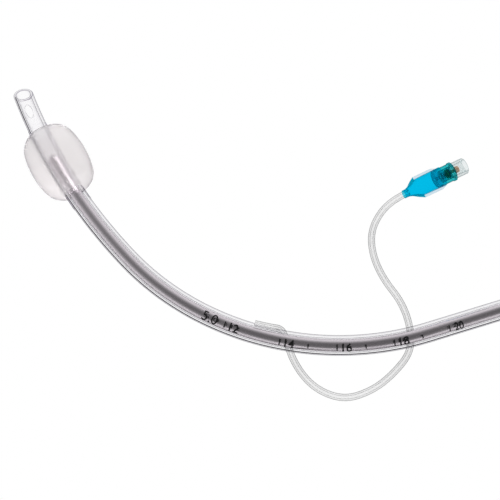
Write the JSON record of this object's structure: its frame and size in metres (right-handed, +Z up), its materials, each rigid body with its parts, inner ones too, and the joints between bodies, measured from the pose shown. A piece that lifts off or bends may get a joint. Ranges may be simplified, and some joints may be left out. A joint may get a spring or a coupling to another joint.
{
  "type": "endotracheal tube",
  "caption": "Clear cuffed breathing tube with bevelled tip, side eye, metal stylet, 15 mm connector and an inflation line with a blue pilot balloon and sprung valve.",
  "frame": {"origin": "on the table under the middle of the rigid tube, cuff, connector and stylet", "axes": "+Z up from the table; +X from the bevelled tip's end towards the connector's end, as in the picture; +Y away from the viewer, on the side where the pilot balloon lies"},
  "size_m": [0.2264, 0.1196, 0.0207],
  "materials": {
    "clear_pvc": "clear, glossy, with fine print",
    "cuff_film": "frosted thin film",
    "white_plastic": "translucent moulded plastic",
    "satin_metal": "satin drawn rod",
    "line_pvc": "clear, glossy",
    "blue_film": "glossy welded film",
    "teal_plastic": "translucent moulded plastic",
    "clear_plastic": "clear moulded plastic",
    "amber_plastic": "moulded plastic",
    "black_rubber": "matte",
    "spring_steel": "drawn wire"
  },
  "bodies": {
    "airway_tube": {"tube": "clear_pvc", "cuff": "cuff_film", "breathing_connector": "white_plastic", "stylet": "satin_metal", "inflation_line": "line_pvc", "pilot_balloon": "blue_film", "valve_housing": "teal_plastic", "luer_socket": "clear_plastic", "valve_spring": "spring_steel"},
    "valve_stem": {"valve_poppet": "amber_plastic", "valve_seal": "black_rubber"}
  },
  "joints": [
    {"name": "valve_push", "type": "slide", "parent": "airway_tube", "child": "valve_stem", "axis": [-0.878, -0.4787, 0], "range_m": [0, 0.0012], "stiffness_N_per_m": 400, "springref_m": -0.001, "deforming": ["valve_spring"]}
  ]
}
